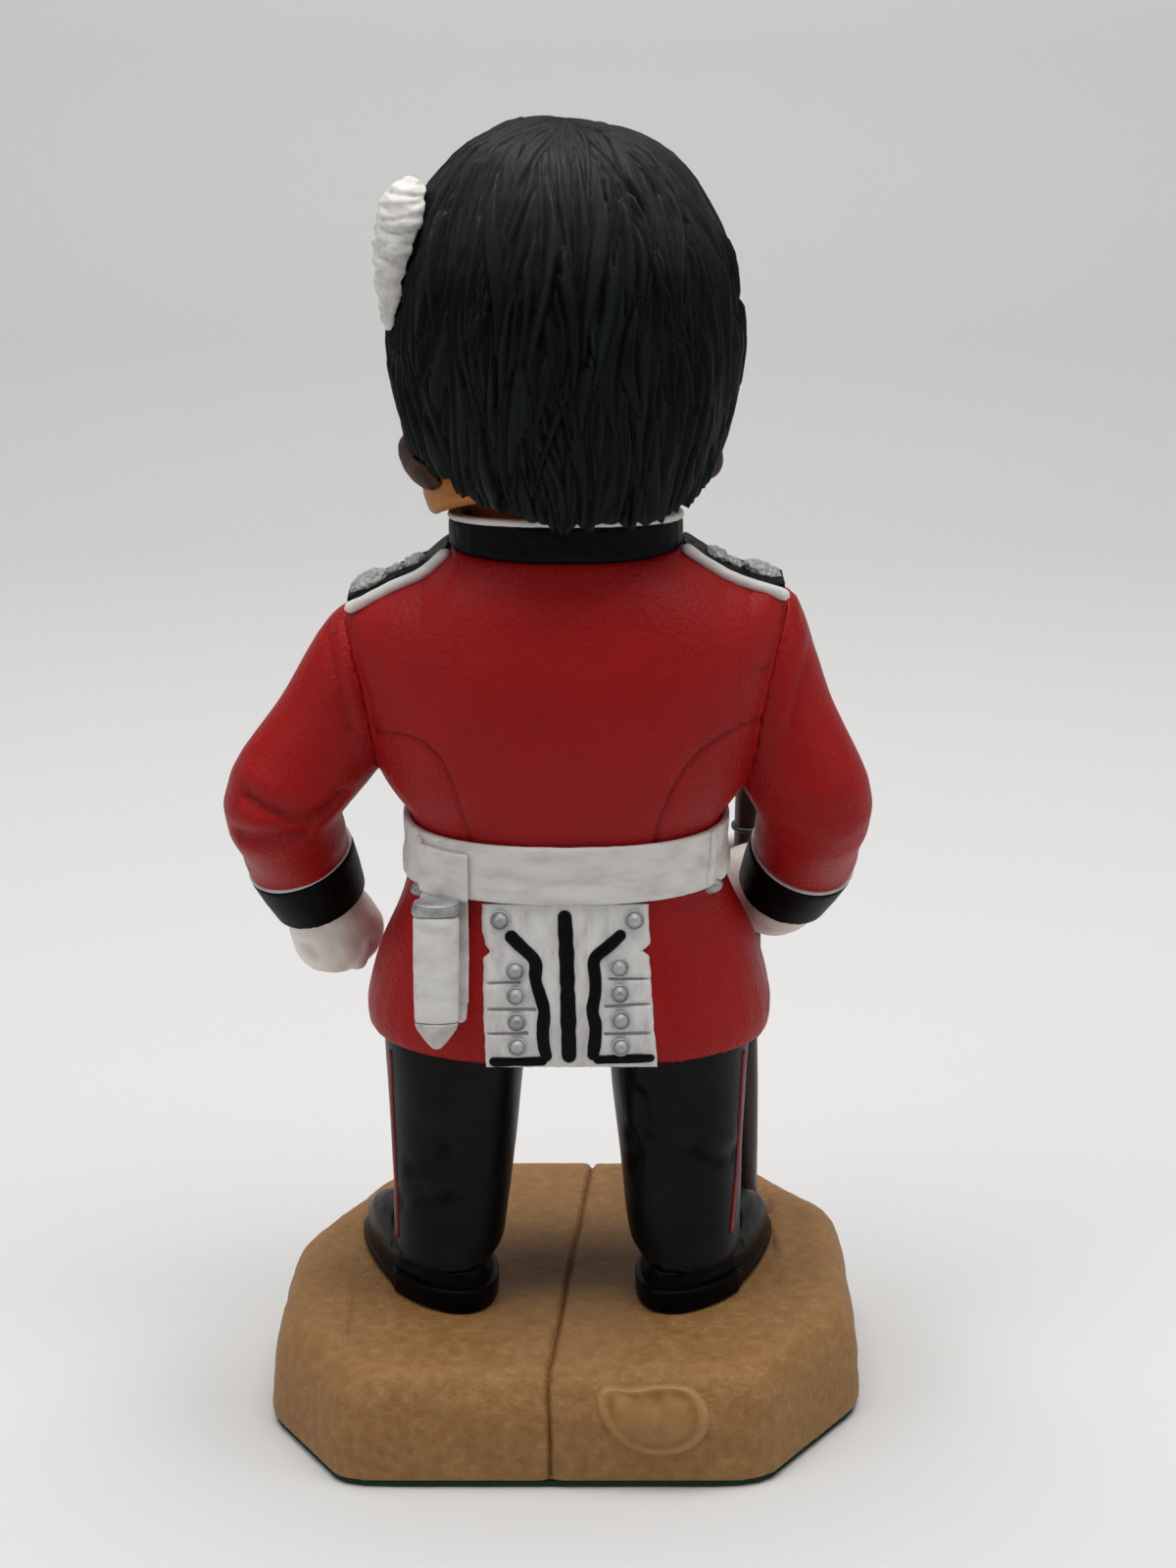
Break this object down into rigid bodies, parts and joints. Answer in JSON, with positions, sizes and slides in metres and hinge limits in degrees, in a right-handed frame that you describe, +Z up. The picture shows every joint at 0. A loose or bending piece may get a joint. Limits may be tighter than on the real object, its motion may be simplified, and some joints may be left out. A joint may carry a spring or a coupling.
{
  "type": "toy soldier figure",
  "caption": "Painted resin guard figure in red tunic and tall fur cap on a stone-slab base; its oversized head bobs on a coil spring hidden in the collar.",
  "frame": {"origin": "on the felt's underside, below the middle of the figure", "axes": "+Z up, the figure faces -Y, its left side is +X"},
  "size_m": [0.0996, 0.0847, 0.1999],
  "materials": {
    "green_felt": "felt",
    "stone_painted_resin": "matt wash",
    "steel": "drawn",
    "plug_plastic": "moulded",
    "white_painted_resin": "brushed paint",
    "black_painted_resin": "satin paint",
    "boot_black_painted_resin": "gloss paint",
    "trouser_black_painted_resin": "satin paint",
    "red_painted_resin": "satin paint",
    "silver_painted_resin": "metallic paint",
    "gold_painted_resin": "metallic paint",
    "stock_brown_painted_resin": "satin paint",
    "gunmetal_painted_resin": "metallic paint",
    "skin_painted_resin": "satin paint",
    "hair_painted_resin": "matt paint",
    "fur_black_painted_resin": "dry-brushed matt paint",
    "plume_painted_resin": "matt paint"
  },
  "bodies": {
    "figure": {"felt_pad": "green_felt", "base_plinth": "stone_painted_resin", "leg_pins": "steel", "left_boot": "boot_black_painted_resin", "right_boot": "boot_black_painted_resin", "left_trouser_leg": "trouser_black_painted_resin", "right_trouser_leg": "trouser_black_painted_resin", "tunic_skirt": "red_painted_resin", "tunic_torso": "red_painted_resin", "belt": "white_painted_resin", "belt_buckle": "gold_painted_resin", "belt_hooks": "silver_painted_resin", "bayonet_frog": "white_painted_resin", "scabbard": "white_painted_resin", "scabbard_locket": "silver_painted_resin", "scabbard_chape": "silver_painted_resin", "tail_panel": "white_painted_resin", "tail_piping": "black_painted_resin", "tail_buttons": "silver_painted_resin", "front_piping": "white_painted_resin", "front_buttons": "gold_painted_resin", "collar": "black_painted_resin", "collar_piping": "white_painted_resin", "left_epaulette": "black_painted_resin", "right_epaulette": "black_painted_resin", "left_epaulette_piping": "white_painted_resin", "right_epaulette_piping": "white_painted_resin", "left_epaulette_badge": "silver_painted_resin", "right_epaulette_badge": "silver_painted_resin", "left_sleeve": "red_painted_resin", "right_sleeve": "red_painted_resin", "left_cuff_piping": "white_painted_resin", "right_cuff_piping": "white_painted_resin", "left_cuff": "black_painted_resin", "right_cuff": "black_painted_resin", "left_glove": "white_painted_resin", "right_glove": "white_painted_resin", "rifle_stock": "stock_brown_painted_resin", "rifle_butt_plate": "gunmetal_painted_resin", "rifle_barrel": "gunmetal_painted_resin", "rifle_bolt": "gunmetal_painted_resin", "spring_post": "plug_plastic"},
    "spring": {"neck_spring": "steel"},
    "spring_top": {"spring_cap": "plug_plastic"},
    "bobbing_head": {"head": "skin_painted_resin", "left_hair": "hair_painted_resin", "right_hair": "hair_painted_resin", "bearskin": "fur_black_painted_resin", "plume": "plume_painted_resin", "chin_strap": "gold_painted_resin"}
  },
  "joints": [
    {"name": "head_sway", "type": "hinge", "parent": "figure", "child": "spring", "pos_m": [0, 0, 0.14245], "axis": [0, 1, 0], "range_deg": [-6, 6], "stiffness_Nm_per_rad": 0.15, "deforming": ["neck_spring"]},
    {"name": "head_nod", "type": "hinge", "parent": "spring", "child": "spring_top", "pos_m": [0, 0, 0.14245], "axis": [1, 0, 0], "range_deg": [-6, 6], "stiffness_Nm_per_rad": 0.15},
    {"name": "head_turn", "type": "hinge", "parent": "spring_top", "child": "bobbing_head", "pos_m": [0, 0, 0.14245], "axis": [0, 0, 1], "range_deg": [-12, 12], "stiffness_Nm_per_rad": 0.08}
  ]
}
